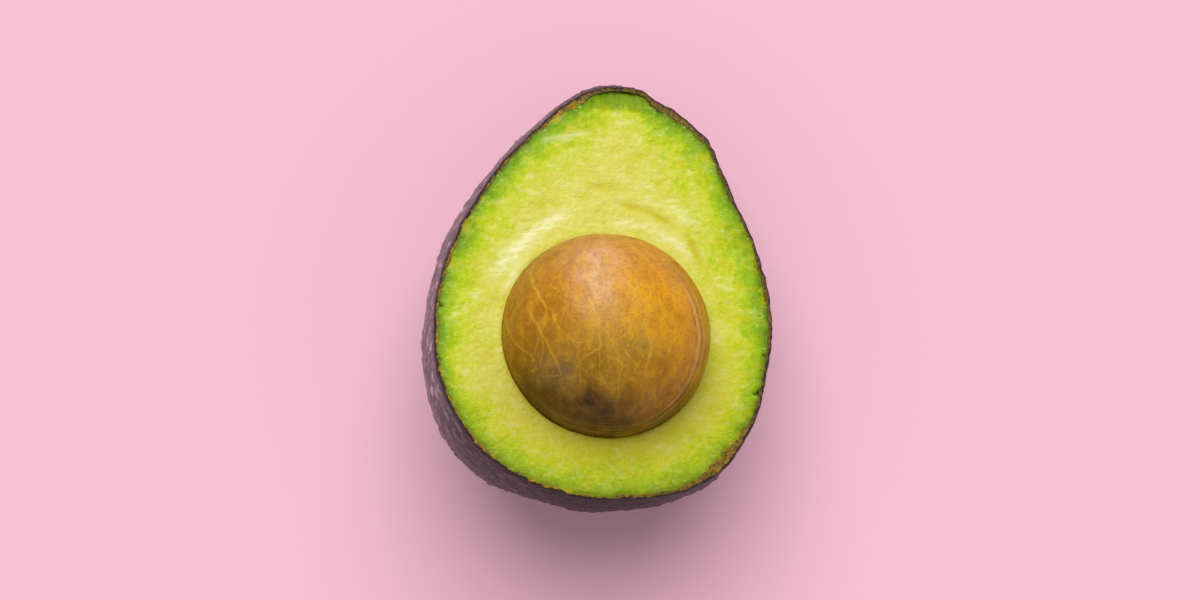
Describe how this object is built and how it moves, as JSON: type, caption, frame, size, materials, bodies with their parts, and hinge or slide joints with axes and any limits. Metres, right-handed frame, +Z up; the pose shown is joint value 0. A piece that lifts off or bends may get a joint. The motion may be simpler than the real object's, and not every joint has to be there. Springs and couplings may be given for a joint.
{
  "type": "avocado half",
  "caption": "Ripe avocado half, cut lengthways, its round brown stone still in pale green flesh inside a dark pebbled skin, lying on its back.",
  "frame": {"origin": "on the surface it rests on, under the middle of the object's box", "axes": "+Z up, +Y towards the neck, where the stem was, and +X to the right of someone who looks down at the cut face with the neck away from them"},
  "size_m": [0.0734, 0.0906, 0.0627],
  "materials": {
    "skin": "dark purple-brown pebbled rind, waxy, with a thin ochre inner edge at the cut",
    "flesh": "moist buttery flesh, pale yellow-green in the middle and bright green against the skin",
    "pit": "smooth glossy seed coat, mottled orange-brown with fine pale veins"
  },
  "bodies": {
    "root": {"skin": "skin", "flesh": "flesh", "pit": "pit"}
  },
  "joints": []
}
